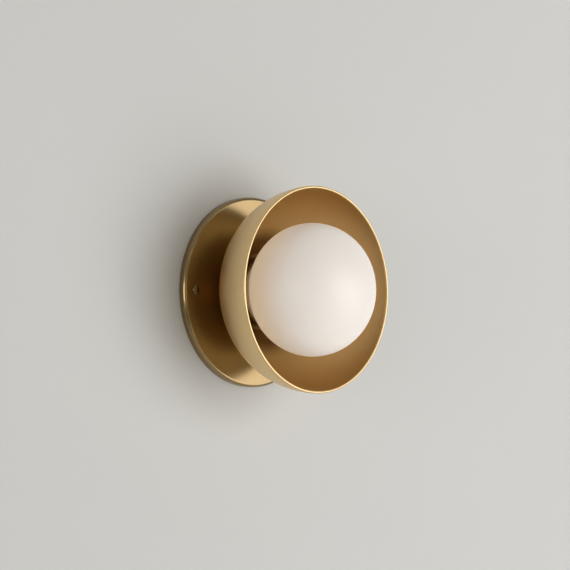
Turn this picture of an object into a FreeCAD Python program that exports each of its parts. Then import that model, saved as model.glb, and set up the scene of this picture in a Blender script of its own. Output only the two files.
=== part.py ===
import FreeCAD, Part
import Sketcher
import math
import os
from types import SimpleNamespace

# Wall sconce: a thin round plate on the wall, a spun brass bowl on a short neck, and an
# opal glass globe that screws into a cup inside the bowl. Lengths are in millimetres.
# Every piece is drawn as it lies on the bench, with X across the wall, Y up the wall
# and Z out of the wall, all from the middle of the plate's rear face.
# Its Placement then stands it up: out of the wall becomes -Y and up the wall becomes +Z.

sizes = {
    # Back plate: a shallow pan of brass sheet
    "plate_radius": 60.0,
    "plate_depth": 4.8,
    "plate_sheet": 1.0,
    "plate_edge_round": 1.0,
    # Mounting strap: a flat steel bar with an eye round the rear nut
    "strap_width": 15.0,
    "strap_thickness": 1.5,
    "strap_end_margin": 5.0,
    "strap_eye_margin": 1.35,
    "strap_eye_clearance": 1.0,
    "wall_slot_spacing": 60.0,
    "wall_slot_travel": 8.0,
    "wall_slot_width": 4.5,
    # Screws that hold the plate to the strap
    "plate_screw_inset": 9.0,
    "plate_screw_radius": 1.5,
    "plate_screw_head_radius": 2.6,
    "plate_screw_head_height": 1.9,
    "plate_screw_head_edge": 0.5,
    # Ground screw in the rim of the strap's eye
    "ground_screw_radius": 2.0,
    "ground_screw_head_radius": 3.4,
    "ground_screw_head_room": 0.7,
    "ground_screw_slot_width": 1.1,
    # Threaded nipple, its two nuts, lock washer and bushing
    "nipple_radius": 5.0,
    "nipple_wall": 1.0,
    "nipple_rear_gap": 0.4,
    "nipple_proud": 1.0,
    "nut_flats": 14.0,
    "nut_thickness": 2.4,
    "nut_ease_share": 0.96,
    "nut_ease_slope_share": 0.58,
    "lock_washer_web": 1.3,
    "lock_washer_sheet": 0.4,
    "lock_washer_notch_depth": 1.2,
    "lock_washer_notch_width": 1.3,
    "bushing_flange_overhang": 0.4,
    "bushing_flange_thickness": 0.8,
    "bushing_sleeve_length": 5.0,
    "bushing_wall": 0.9,
    # Neck between the plate and the bowl
    "neck_length": 3.0,
    "neck_radius": 20.0,
    "neck_land": 0.5,
    "neck_cove_depth": 0.6,
    # Bowl shade
    "shade_radius": 63.5,
    "shade_reach": 61.0,
    "shade_wall": 1.5,
    "shade_lip_round": 0.3,
    "shade_seat_margin": 1.12,
    "shade_seat_blend": 6.0,
    "shade_oval_share": 1.64,
    # Threaded cup that carries the globe
    "cup_sheet": 1.2,
    "cup_clearance": 0.4,
    "cup_rim_gap": 2.1,
    "cup_corner_round": 1.6,
    # Gasket under the globe's neck
    "gasket_thickness": 1.5,
    "gasket_width": 2.6,
    # Opal globe
    "globe_radius": 41.0,
    "globe_half_depth": 38.7,
    "globe_wall": 2.5,
    "globe_neck_length": 6.2,
    "globe_neck_clearance": 2.6,
    "globe_shoulder_round": 2.0,
    "globe_oval_share": 1.5,
    # Stamped bracket that carries the lampholder
    "bracket_sheet": 1.0,
    "bracket_side_margin": 0.9,
    "bracket_rise": 7.2,
    "bracket_end_margin": 2.6,
    "bracket_tab": 6.0,
    "bracket_inner_bend": 0.4,
    # Ceramic lampholder with a well for the bulb and a slot for each pin
    "holder_floor": 3.0,
    "holder_wall": 0.8,
    "holder_flange_thickness": 3.5,
    "holder_flange_width": 10.6,
    "holder_well_depth": 4.0,
    "holder_lead_hole_radius": 1.0,
    "holder_screw_head_gap": 0.6,
    "holder_screw_radius": 1.5,
    "holder_screw_head_radius": 2.4,
    "holder_screw_head_height": 1.6,
    "holder_screw_slot_width": 0.8,
    # Contact clips in the lampholder's slots
    "contact_top_gap": 1.0,
    "contact_sheet": 0.5,
    "contact_width": 4.0,
    # Bulb with two looped wire pins
    "bulb_radius": 8.0,
    "bulb_length": 46.0,
    "bulb_wall": 1.0,
    "bulb_block_length": 12.8,
    "bulb_block_width": 7.4,
    "bulb_block_height": 5.0,
    "bulb_block_round": 1.2,
    "bulb_collar_height": 2.0,
    "bulb_core_width": 7.0,
    "bulb_core_chamfer": 1.0,
    "pin_pitch": 9.0,
    "pin_length": 8.0,
    "pin_wire_radius": 0.5,
    "pin_loop_radius": 1.0,
    "pin_end_gap": 0.8,
    # How deep a screw's slot is cut into its head
    "screw_slot_share": 0.5,
    # Clearances
    "bore_clearance": 0.1,
    "thread_clearance": 0.05,
    "screw_hole_clearance": 0.3,
    "slot_clearance": 0.1,
    "seat_gap": 0.3,
    # How far a cutter runs past what it cuts
    "overrun": 1.0,
}


class Size:
    """A length known both as a number and as an expression on the sheet."""

    def __init__(self, number, text):
        self.number = number
        self.text = text

    def __add__(self, other):
        other = as_size(other)
        return Size(self.number + other.number, f"({self.text} + {other.text})")

    def __sub__(self, other):
        other = as_size(other)
        return Size(self.number - other.number, f"({self.text} - {other.text})")

    def __mul__(self, other):
        other = as_size(other)
        return Size(self.number * other.number, f"({self.text} * {other.text})")

    def __truediv__(self, other):
        other = as_size(other)
        return Size(self.number / other.number, f"({self.text} / {other.text})")

    def __neg__(self):
        return Size(-self.number, f"(0 - {self.text})")


def as_size(value):
    """A plain number becomes a size too, so that both can stand in one sum."""
    if isinstance(value, Size):
        return value
    return Size(float(value), str(value))


def root(size):
    """The square root of a size."""
    return Size(math.sqrt(size.number), f"sqrt({size.text})")


def across_corner(first, second):
    """How far a corner lies from the origin."""
    return root(first * first + second * second)


def write_sheet(doc):
    """The spreadsheet of driving sizes, and the same sizes by name."""
    sheet = doc.addObject("Spreadsheet::Sheet", "Sizes")
    for row, (alias, number) in enumerate(sizes.items(), 1):
        sheet.set(f"A{row}", alias)
        sheet.set(f"B{row}", str(number))
        sheet.setAlias(f"B{row}", alias)
    doc.recompute()
    return SimpleNamespace(**{alias: Size(number, f"Sizes.{alias}") for alias, number in sizes.items()})


doc = FreeCAD.newDocument("wall_sconce")
s = write_sheet(doc)
ZERO = as_size(0)
STAND_UP = FreeCAD.Rotation(FreeCAD.Vector(1, 0, 0), 90)
TURN_LEFT = 1
TURN_RIGHT = -1
nodes = []


def bind(thing, **properties):
    """Tie properties of an object to sizes."""
    for name, size in properties.items():
        thing.setExpression(name, as_size(size).text)
    return thing


def keep(thing, label):
    """Name a finished piece and stand it up on the wall."""
    thing.Label = label
    thing.Placement = FreeCAD.Placement(FreeCAD.Vector(0, 0, 0), STAND_UP)
    nodes.append(thing)
    return thing


def move(thing, across=ZERO, up=ZERO, out=ZERO):
    """Tie the place of a loose solid, as it lies on the bench, to sizes."""
    for name, size in (("x", across), ("y", up), ("z", out)):
        thing.setExpression(f".Placement.Base.{name}", size.text)
    return thing


# Sketches


def new_sketch(body, plane, name):
    """A sketch on one of the body's own origin planes."""
    sketch = body.newObject("Sketcher::SketchObject", name)
    origin_plane = next(part for part in body.Origin.OriginFeatures if part.Role == plane)
    sketch.AttachmentSupport = [(origin_plane, "")]
    sketch.MapMode = "FlatFace"
    return sketch


def tie(sketch, kind, first, size):
    """Bind the distance from the origin to a point, or hold the point on an axis."""
    if size.number == 0:
        axis = -2 if kind == "DistanceX" else -1
        sketch.addConstraint(Sketcher.Constraint("PointOnObject", *first, axis))
        return
    index = sketch.addConstraint(Sketcher.Constraint(kind, -1, 1, *first, size.number))
    sketch.setExpression(f"Constraints[{index}]", size.text)


def point(pair):
    return FreeCAD.Vector(pair[0].number, pair[1].number, 0)


def draw_outline(sketch, start, *steps):
    """Draw a closed outline from a start corner and tie it to the sheet.

    A step is the next corner, or a centre, the next corner and the way the arc turns.
    """
    corner = start
    edges = []
    for step in steps:
        if len(step) == 2:
            edge = sketch.addGeometry(Part.LineSegment(point(corner), point(step)), False)
            edges.append((edge, 1, 2, corner))
            corner = step
            continue
        centre, end, way = step
        first, last = (corner, end) if way == TURN_LEFT else (end, corner)
        middle = point(centre)
        radius = (point(first) - middle).Length
        angles = [math.atan2(*(point(place) - middle)[1::-1]) for place in (first, last)]
        circle = Part.Circle(middle, FreeCAD.Vector(0, 0, 1), radius)
        edge = sketch.addGeometry(Part.ArcOfCircle(circle, *angles), False)
        edges.append((edge, *((1, 2) if way == TURN_LEFT else (2, 1)), corner))
        chord = point(end) - point(corner)
        if abs(chord.y) > abs(chord.x):
            tie(sketch, "DistanceX", (edge, 3), centre[0])
        else:
            tie(sketch, "DistanceY", (edge, 3), centre[1])
        corner = end
    for (edge, begin, _, place), (before, _, finish, _) in zip(edges, edges[-1:] + edges[:-1]):
        sketch.addConstraint(Sketcher.Constraint("Coincident", before, finish, edge, begin))
        tie(sketch, "DistanceX", (edge, begin), place[0])
        tie(sketch, "DistanceY", (edge, begin), place[1])


def draw_circle(sketch, radius, across=ZERO, up=ZERO):
    """Draw a circle and tie it to the sheet."""
    circle = Part.Circle(point((across, up)), FreeCAD.Vector(0, 0, 1), radius.number)
    edge = sketch.addGeometry(circle, False)
    tie(sketch, "DistanceX", (edge, 3), across)
    tie(sketch, "DistanceY", (edge, 3), up)
    index = sketch.addConstraint(Sketcher.Constraint("Radius", edge, radius.number))
    sketch.setExpression(f"Constraints[{index}]", radius.text)


def draw_slot(sketch, across, travel, width):
    """Draw a slot with round ends that runs along X."""
    left = across - travel / 2
    right = across + travel / 2
    half = width / 2
    draw_outline(
        sketch,
        (left, -half),
        (right, -half),
        ((right, ZERO), (right, half), TURN_LEFT),
        (left, half),
        ((left, ZERO), (left, -half), TURN_LEFT),
    )


def draw_box(sketch, length, width, across=ZERO):
    """Draw a rectangle round a point on the X axis."""
    left = across - length / 2
    right = across + length / 2
    half = width / 2
    draw_outline(sketch, (left, -half), (right, -half), (right, half), (left, half), (left, -half))


# Features


def new_body(label):
    return doc.addObject("PartDesign::Body", label)


def turn(body, start, *steps):
    """Revolve an outline, drawn as radius and height, round the axis out of the wall."""
    sketch = new_sketch(body, "XZ_Plane", body.Name + "_profile")
    draw_outline(sketch, start, *steps)
    feature = body.newObject("PartDesign::Revolution", body.Name + "_turned")
    feature.Profile = sketch
    feature.ReferenceAxis = (sketch, ["V_Axis"])
    feature.Angle = 360
    sketch.Visibility = False
    doc.recompute()
    return feature


def pad(body, sketch, height, both_ways=False):
    """Thicken a sketch into a solid."""
    feature = body.newObject("PartDesign::Pad", sketch.Name + "_pad")
    feature.Profile = sketch
    feature.SideType = "Symmetric" if both_ways else "One side"
    bind(feature, Length=height)
    doc.recompute()
    return feature


def groove(body, start, *steps):
    """Cut an outline, drawn as radius and height, out of a solid all the way round the axis."""
    before = body.Shape.Volume
    sketch = new_sketch(body, "XZ_Plane", body.Name + "_groove_profile")
    draw_outline(sketch, start, *steps)
    feature = body.newObject("PartDesign::Groove", body.Name + "_grooved")
    feature.Profile = sketch
    feature.ReferenceAxis = (sketch, ["V_Axis"])
    feature.Angle = 360
    sketch.Visibility = False
    doc.recompute()
    if not body.Shape.Volume < before:
        raise RuntimeError(f"{feature.Name} removed nothing")
    return feature


def pocket(body, sketch, depth, toward_front=True):
    """Cut a sketch out of a solid and make sure that it removed something."""
    before = body.Shape.Volume
    feature = body.newObject("PartDesign::Pocket", sketch.Name + "_cut")
    feature.Profile = sketch
    feature.Reversed = toward_front
    bind(feature, Length=depth)
    doc.recompute()
    if not body.Shape.Volume < before:
        raise RuntimeError(f"{feature.Name} removed nothing")
    return feature


def raise_sketch(sketch, height):
    """Lift a sketch along its plane's normal by a size."""
    sketch.setExpression(".AttachmentOffset.Base.z", height.text)


def cylinder(name, radius, height, across=ZERO, out=ZERO):
    solid = doc.addObject("Part::Cylinder", name)
    bind(solid, Radius=radius, Height=height)
    return move(solid, across=across, out=out)


def joined(name, pieces):
    solid = doc.addObject("Part::MultiFuse", name)
    solid.Shapes = pieces
    return solid


def pair_of(label, solid):
    """A solid and its mirror image across the middle of the lamp, as one node."""
    twin = doc.addObject("Part::Mirroring", label + "_twin")
    twin.Source = solid
    twin.Normal = FreeCAD.Vector(1, 0, 0)
    group = doc.addObject("Part::Compound", label)
    group.Links = [solid, twin]
    return keep(group, label)


# Where each piece of the stack on the nipple starts, measured out from the wall

washer_rear = s.plate_depth - s.plate_sheet - s.lock_washer_sheet
rear_nut_rear = washer_rear - s.nut_thickness
neck_rear = s.plate_depth
shade_rear = neck_rear + s.neck_length
cup_rear = shade_rear + s.shade_wall
bracket_rear = cup_rear + s.cup_sheet
top_nut_rear = bracket_rear + s.bracket_sheet
nipple_front = top_nut_rear + s.nut_thickness + s.nipple_proud
holder_rear = bracket_rear + s.bracket_rise
slot_floor = holder_rear + s.holder_floor
bulb_rear = slot_floor + s.contact_sheet + s.pin_end_gap + s.pin_length
well_floor = bulb_rear - s.seat_gap
gasket_rear = bracket_rear + s.seat_gap
globe_rear = gasket_rear + s.gasket_thickness + s.seat_gap

plate_screw_offset = s.plate_radius - s.plate_screw_inset
nipple_hole = s.nipple_radius + s.bore_clearance
nipple_bore = s.nipple_radius - s.nipple_wall
nut_corner_radius = s.nut_flats / math.sqrt(3)


# Mounting strap

eye_hole = nut_corner_radius + s.strap_eye_clearance
ground_screw_hole = s.ground_screw_radius + s.thread_clearance
ground_screw_offset = eye_hole + s.strap_eye_margin + ground_screw_hole
eye_radius = ground_screw_offset + ground_screw_hole + s.strap_eye_margin


def mounting_strap():
    """A bar with round ends and a wide eye, its wall slots and its three tapped holes."""
    half = s.strap_width / 2
    shoulder = root(eye_radius * eye_radius - half * half)
    end = plate_screw_offset + s.strap_end_margin - half
    middle = (ZERO, ZERO)
    body = new_body("mounting_strap")
    sketch = new_sketch(body, "XY_Plane", "strap_outline")
    draw_outline(
        sketch,
        (shoulder, -half),
        (end, -half),
        ((end, ZERO), (end, half), TURN_LEFT),
        (shoulder, half),
        (middle, (-shoulder, half), TURN_LEFT),
        (-end, half),
        ((-end, ZERO), (-end, -half), TURN_LEFT),
        (-shoulder, -half),
        (middle, (shoulder, -half), TURN_LEFT),
    )
    draw_circle(sketch, eye_hole)
    for side in (-1, 1):
        draw_slot(sketch, s.wall_slot_spacing / 2 * side, s.wall_slot_travel, s.wall_slot_width)
        tapped_hole = s.plate_screw_radius + s.thread_clearance
        draw_circle(sketch, tapped_hole, across=plate_screw_offset * side)
    draw_circle(sketch, ground_screw_hole, up=-ground_screw_offset)
    pad(body, sketch, s.strap_thickness)
    keep(body, "mounting_strap")


def domed_screw(name, thread_radius, head_radius, head_height, head_edge, seat, tip):
    """A screw with a plain domed head: its thread ends at tip, its head sits on seat."""
    body = new_body(name)
    rise = head_height - head_edge
    dome = (rise * rise + head_radius * head_radius) / (rise * 2)
    head_front = seat + head_height
    turn(
        body,
        (ZERO, tip),
        (thread_radius, tip),
        (thread_radius, seat),
        (head_radius, seat),
        (head_radius, seat + head_edge),
        ((ZERO, head_front - dome), (ZERO, head_front), TURN_LEFT),
        (ZERO, tip),
    )
    return body


def slot_head(body, head_radius, head_front, depth, width):
    """Cut a straight slot across a screw's head."""
    sketch = new_sketch(body, "XY_Plane", body.Name + "_slot")
    draw_box(sketch, (head_radius + s.overrun) * 2, width)
    raise_sketch(sketch, head_front - depth)
    pocket(body, sketch, depth + s.overrun)


def plate_screws():
    """Two screws, left and right, through the plate into the strap."""
    screw = domed_screw(
        "plate_screw",
        s.plate_screw_radius,
        s.plate_screw_head_radius,
        s.plate_screw_head_height,
        s.plate_screw_head_edge,
        seat=s.plate_depth,
        tip=ZERO,
    )
    move(screw, across=plate_screw_offset)
    pair_of("plate_screws", screw)


def ground_screw():
    """The screw for the earth wire, with a flat round head under the plate's face."""
    head_height = s.plate_depth - s.plate_sheet - s.ground_screw_head_room - s.strap_thickness
    screw = domed_screw(
        "ground_screw",
        s.ground_screw_radius,
        s.ground_screw_head_radius,
        head_height,
        head_height / 2,
        seat=s.strap_thickness,
        tip=ZERO,
    )
    slot_head(
        screw,
        s.ground_screw_head_radius,
        s.strap_thickness + head_height,
        head_height * s.screw_slot_share,
        s.ground_screw_slot_width,
    )
    keep(screw, "ground_screw")
    # Once the screw stands, down the wall is along Z
    screw.setExpression(".Placement.Base.z", (-ground_screw_offset).text)


# Back plate, neck and the fasteners on the nipple


def back_plate():
    """A pan turned from sheet: a disc with an eased edge and a short wall behind it."""
    inner = s.plate_radius - s.plate_sheet
    face = s.plate_depth
    under_face = s.plate_depth - s.plate_sheet
    round_start = s.plate_depth - s.plate_edge_round
    round_middle = s.plate_radius - s.plate_edge_round
    body = new_body("back_plate")
    turn(
        body,
        (inner, ZERO),
        (s.plate_radius, ZERO),
        (s.plate_radius, round_start),
        ((round_middle, round_start), (round_middle, face), TURN_LEFT),
        (nipple_hole, face),
        (nipple_hole, under_face),
        (inner, under_face),
        (inner, ZERO),
    )
    sketch = new_sketch(body, "XY_Plane", "plate_screw_holes")
    for side in (-1, 1):
        hole = s.plate_screw_radius + s.screw_hole_clearance
        draw_circle(sketch, hole, across=plate_screw_offset * side)
    pocket(body, sketch, s.plate_depth + s.overrun)
    keep(body, "back_plate")


def threaded_nipple():
    """The hollow rod that everything between the plate and the lampholder is clamped on."""
    body = new_body("threaded_nipple")
    turn(
        body,
        (nipple_bore, s.nipple_rear_gap),
        (s.nipple_radius, s.nipple_rear_gap),
        (s.nipple_radius, nipple_front),
        (nipple_bore, nipple_front),
        (nipple_bore, s.nipple_rear_gap),
    )
    keep(body, "threaded_nipple")


def hex_nut(label, rear, free_face, inward):
    """A thin hexagon nut on the nipple, with its corners eased on the face that nothing meets."""
    half_flats = s.nut_flats / 2
    half_corner = nut_corner_radius / 2
    body = new_body(label)
    sketch = new_sketch(body, "XY_Plane", label + "_hexagon")
    draw_outline(
        sketch,
        (nut_corner_radius, ZERO),
        (half_corner, half_flats),
        (-half_corner, half_flats),
        (-nut_corner_radius, ZERO),
        (-half_corner, -half_flats),
        (half_corner, -half_flats),
        (nut_corner_radius, ZERO),
    )
    draw_circle(sketch, s.nipple_radius + s.thread_clearance)
    raise_sketch(sketch, rear)
    pad(body, sketch, s.nut_thickness)
    ease_start = half_flats * s.nut_ease_share
    cutter_end = nut_corner_radius + s.overrun
    ease_drop = (cutter_end - ease_start) * s.nut_ease_slope_share * inward
    clear = free_face - s.overrun * inward
    groove(
        body,
        (ease_start, free_face),
        (cutter_end, free_face + ease_drop),
        (cutter_end, clear),
        (ease_start, clear),
        (ease_start, free_face),
    )
    keep(body, label)


def rear_lock_washer():
    """A thin washer with notches between its teeth."""
    teeth = 12
    notch_floor = nipple_hole + s.lock_washer_web
    radius = notch_floor + s.lock_washer_notch_depth
    body = new_body("rear_lock_washer")
    sketch = new_sketch(body, "XY_Plane", "lock_washer_outline")
    draw_circle(sketch, radius)
    draw_circle(sketch, nipple_hole)
    raise_sketch(sketch, washer_rear)
    pad(body, sketch, s.lock_washer_sheet)
    half = s.lock_washer_notch_width / 2
    notch_end = radius + s.overrun
    notch = new_sketch(body, "XY_Plane", "lock_washer_notch")
    draw_outline(
        notch,
        (notch_floor, -half),
        (notch_end, -half),
        (notch_end, half),
        (notch_floor, half),
        (notch_floor, -half),
    )
    first_notch = pocket(body, notch, washer_rear + s.lock_washer_sheet + s.overrun)
    ring = body.newObject("PartDesign::PolarPattern", "lock_washer_teeth")
    ring.Originals = [first_notch]
    ring.Axis = (notch, ["N_Axis"])
    ring.Angle = 360
    ring.Occurrences = teeth
    body.Tip = ring
    doc.recompute()
    keep(body, "rear_lock_washer")


def wire_bushing():
    """A plastic bush that keeps the leads off the nipple's sharp end."""
    sleeve = nipple_bore - s.bore_clearance
    bore = sleeve - s.bushing_wall
    flange = s.nipple_radius + s.bushing_flange_overhang
    rear = nipple_front - s.bushing_sleeve_length
    front = nipple_front + s.bushing_flange_thickness
    body = new_body("wire_bushing")
    turn(
        body,
        (bore, rear),
        (sleeve, rear),
        (sleeve, nipple_front),
        (flange, nipple_front),
        (flange, front),
        (bore, front),
        (bore, rear),
    )
    keep(body, "wire_bushing")


def neck_spacer():
    """A turned ring with a shallow cove, between the plate and the bowl."""
    cove_rear = neck_rear + s.neck_land
    cove_front = shade_rear - s.neck_land
    half = (cove_front - cove_rear) / 2
    cove = (half * half + s.neck_cove_depth * s.neck_cove_depth) / (s.neck_cove_depth * 2)
    cove_middle = (s.neck_radius - s.neck_cove_depth + cove, (cove_rear + cove_front) / 2)
    body = new_body("neck_spacer")
    turn(
        body,
        (nipple_hole, neck_rear),
        (s.neck_radius, neck_rear),
        (s.neck_radius, cove_rear),
        (cove_middle, (s.neck_radius, cove_front), TURN_RIGHT),
        (s.neck_radius, shade_rear),
        (nipple_hole, shade_rear),
        (nipple_hole, neck_rear),
    )
    keep(body, "neck_spacer")


# How far the lampholder, its bracket, the globe's neck and the cup reach round the axis

well_half_length = s.bulb_block_length / 2 + s.seat_gap
well_half_width = s.bulb_block_width / 2 + s.seat_gap
holder_radius = across_corner(well_half_length, well_half_width) + s.holder_wall
holder_screw_offset = holder_radius + s.holder_screw_head_gap + s.holder_screw_head_radius
bracket_half = holder_screw_offset + s.bracket_end_margin
bracket_half_width = nipple_hole + s.bracket_side_margin
neck_bore = across_corner(bracket_half, bracket_half_width) + s.globe_neck_clearance
neck_outer = neck_bore + s.globe_wall
cup_inner = neck_outer + s.cup_clearance
cup_outer = cup_inner + s.cup_sheet


# Bowl shade and globe, both ovals made of a tight side arc and a wide end arc


def stretch_of(share):
    """How much the end arc's radius grows with the flattening."""
    return as_size(1) / (share * 2 - 2)


def oval(radius, flattening, share):
    """The arcs of a round-ended oval whose half depth is the radius less the flattening.

    The side arc's middle lies off the axis by a share of the flattening. The end arc's
    middle is on the axis, and the arcs meet without a corner.
    """
    stretch = stretch_of(share)
    inset = flattening * share
    side = radius - inset
    end = radius + flattening * stretch
    beyond = flattening * (stretch + 1)
    lean = share / (stretch + share)
    drop = (stretch + 1) / (stretch + share)
    return SimpleNamespace(inset=inset, side=side, end=end, beyond=beyond, lean=lean, drop=drop)


def flattening_for(radius, depth, share, blend, seat):
    """The flattening of an oval that a blend joins to a flat seat of the radius given.

    The blend's middle is over the seat's edge and as far from the end arc's middle as
    the two radii differ, which makes a quadratic in the flattening.
    """
    stretch = stretch_of(share)
    inner_radius = radius - blend
    inner_depth = depth - blend
    slope = inner_depth * (stretch + 1) - inner_radius * stretch
    rest = seat * seat + inner_depth * inner_depth - inner_radius * inner_radius
    bend = stretch * 2 + 1
    return (root(slope * slope - bend * rest) - slope) / bend


def shade():
    """The spun bowl: a flat seat, a blend, two tangent arcs and an eased lip."""
    rim = s.shade_reach - s.shade_lip_round
    depth = rim - shade_rear
    blend = s.shade_seat_blend
    blend_radius = cup_outer + s.shade_seat_margin
    flattening = flattening_for(s.shade_radius, depth, s.shade_oval_share, blend, blend_radius)
    curve = oval(s.shade_radius, flattening, s.shade_oval_share)
    end_middle = (ZERO, rim + curve.beyond)
    side_middle = (curve.inset, rim)
    blend_height = end_middle[1] - shade_rear - blend
    blend_reach = curve.end - blend
    blend_middle = (blend_radius, shade_rear + blend)

    def skin(depth):
        """Where the seat, the blend, the arcs and the rim meet, this deep in the wall."""
        end = curve.end - depth
        side = curve.side - depth
        seat = (blend_radius, shade_rear + depth)
        shoulder = (blend_radius * end / blend_reach, end_middle[1] - blend_height * end / blend_reach)
        joint = (curve.inset + side * curve.lean, rim - side * curve.drop)
        edge = (curve.inset + side, rim)
        return seat, shoulder, joint, edge

    seat, shoulder, joint, edge = skin(ZERO)
    inner_seat, inner_shoulder, inner_joint, inner_edge = skin(s.shade_wall)
    lip_outer = edge[0] - s.shade_lip_round
    lip_inner = inner_edge[0] + s.shade_lip_round
    body = new_body("shade")
    turn(
        body,
        (nipple_hole, shade_rear),
        seat,
        (blend_middle, shoulder, TURN_LEFT),
        (end_middle, joint, TURN_LEFT),
        (side_middle, edge, TURN_LEFT),
        ((lip_outer, rim), (lip_outer, s.shade_reach), TURN_LEFT),
        (lip_inner, s.shade_reach),
        ((lip_inner, rim), inner_edge, TURN_LEFT),
        (side_middle, inner_joint, TURN_RIGHT),
        (end_middle, inner_shoulder, TURN_RIGHT),
        (blend_middle, inner_seat, TURN_RIGHT),
        (nipple_hole, cup_rear),
        (nipple_hole, shade_rear),
    )
    keep(body, "shade")


globe_curve = oval(s.globe_radius, s.globe_radius - s.globe_half_depth, s.globe_oval_share)
shoulder_reach = globe_curve.end + s.globe_shoulder_round
shoulder_across = neck_outer + s.globe_shoulder_round
shoulder_drop = root(shoulder_reach * shoulder_reach - shoulder_across * shoulder_across)
shoulder_height = globe_rear + s.globe_neck_length
globe_end_middle = shoulder_height + shoulder_drop
globe_middle = globe_end_middle - globe_curve.beyond
globe_front_end_middle = globe_middle - globe_curve.beyond


def opal_globe():
    """Blown glass of even thickness: a plain neck, a blended shoulder and a flattened ball."""
    curve = globe_curve
    rear_middle = (ZERO, globe_end_middle)
    front_middle = (ZERO, globe_front_end_middle)
    side_middle = (curve.inset, globe_middle)
    shoulder_middle = (shoulder_across, shoulder_height)

    def skin(depth):
        """Where the neck, the shoulder and the arcs meet, this deep in the glass."""
        end = curve.end - depth
        side = curve.side - depth
        neck = (neck_outer - depth, shoulder_height)
        shoulder = (
            shoulder_across * end / shoulder_reach,
            globe_end_middle - shoulder_drop * end / shoulder_reach,
        )
        rear_joint = (curve.inset + side * curve.lean, globe_middle - side * curve.drop)
        front_joint = (rear_joint[0], globe_middle + side * curve.drop)
        pole = (ZERO, globe_front_end_middle + end)
        return neck, shoulder, rear_joint, front_joint, pole

    neck, shoulder, rear_joint, front_joint, pole = skin(ZERO)
    inner_neck, inner_shoulder, inner_rear_joint, inner_front_joint, inner_pole = skin(s.globe_wall)
    body = new_body("opal_globe")
    turn(
        body,
        (neck_bore, globe_rear),
        (neck_outer, globe_rear),
        neck,
        (shoulder_middle, shoulder, TURN_RIGHT),
        (rear_middle, rear_joint, TURN_LEFT),
        (side_middle, front_joint, TURN_LEFT),
        (front_middle, pole, TURN_LEFT),
        inner_pole,
        (front_middle, inner_front_joint, TURN_RIGHT),
        (side_middle, inner_rear_joint, TURN_RIGHT),
        (rear_middle, inner_shoulder, TURN_RIGHT),
        (shoulder_middle, inner_neck, TURN_LEFT),
        (neck_bore, globe_rear),
    )
    keep(body, "opal_globe")


def globe_cup():
    """A drawn brass cup, tapped for the globe's neck."""
    rim = shoulder_height - s.cup_rim_gap
    corner_middle = (cup_outer - s.cup_corner_round, cup_rear + s.cup_corner_round)
    body = new_body("globe_cup")
    turn(
        body,
        (nipple_hole, cup_rear),
        (corner_middle[0], cup_rear),
        (corner_middle, (cup_outer, corner_middle[1]), TURN_LEFT),
        (cup_outer, rim),
        (cup_inner, rim),
        (cup_inner, bracket_rear),
        (nipple_hole, bracket_rear),
        (nipple_hole, cup_rear),
    )
    keep(body, "globe_cup")


def globe_gasket():
    """A soft ring between the cup's floor and the end of the globe's neck."""
    inner = neck_outer - s.gasket_width
    front = gasket_rear + s.gasket_thickness
    body = new_body("globe_gasket")
    turn(
        body,
        (inner, gasket_rear),
        (neck_outer, gasket_rear),
        (neck_outer, front),
        (inner, front),
        (inner, gasket_rear),
    )
    keep(body, "globe_gasket")


# Lampholder and its bracket


def lampholder_bracket():
    """A steel strip bent into a U with two tabs turned in under the lampholder."""
    sheet = s.bracket_sheet
    half = bracket_half
    floor_top = bracket_rear + sheet
    tab_end = half - s.bracket_tab
    tab_under = holder_rear - sheet
    outer_bend = s.bracket_inner_bend + sheet
    low = bracket_rear + outer_bend
    high = holder_rear - outer_bend
    across = half - outer_bend
    body = new_body("lampholder_bracket")
    sketch = new_sketch(body, "XZ_Plane", "bracket_side")
    draw_outline(
        sketch,
        (-across, bracket_rear),
        (across, bracket_rear),
        ((across, low), (half, low), TURN_LEFT),
        (half, high),
        ((across, high), (across, holder_rear), TURN_LEFT),
        (tab_end, holder_rear),
        (tab_end, tab_under),
        (across, tab_under),
        ((across, high), (half - sheet, high), TURN_RIGHT),
        (half - sheet, low),
        ((across, low), (across, floor_top), TURN_RIGHT),
        (-across, floor_top),
        ((-across, low), (sheet - half, low), TURN_RIGHT),
        (sheet - half, high),
        ((-across, high), (-across, tab_under), TURN_RIGHT),
        (-tab_end, tab_under),
        (-tab_end, holder_rear),
        (-across, holder_rear),
        ((-across, high), (-half, high), TURN_LEFT),
        (-half, low),
        ((-across, low), (-across, bracket_rear), TURN_LEFT),
    )
    pad(body, sketch, bracket_half_width * 2, both_ways=True)
    holes = new_sketch(body, "XY_Plane", "bracket_nipple_hole")
    draw_circle(holes, nipple_hole)
    pocket(body, holes, floor_top + s.overrun)
    tapped = new_sketch(body, "XY_Plane", "bracket_screw_holes")
    for side in (-1, 1):
        hole = s.holder_screw_radius + s.thread_clearance
        draw_circle(tapped, hole, across=holder_screw_offset * side)
    raise_sketch(tapped, tab_under - s.overrun)
    pocket(body, tapped, sheet + s.overrun * 2)
    keep(body, "lampholder_bracket")


contact_room = (s.pin_wire_radius + s.seat_gap + s.contact_sheet) * 2
slot_length = s.contact_width + s.slot_clearance * 2
pin_offset = s.pin_pitch / 2


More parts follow.
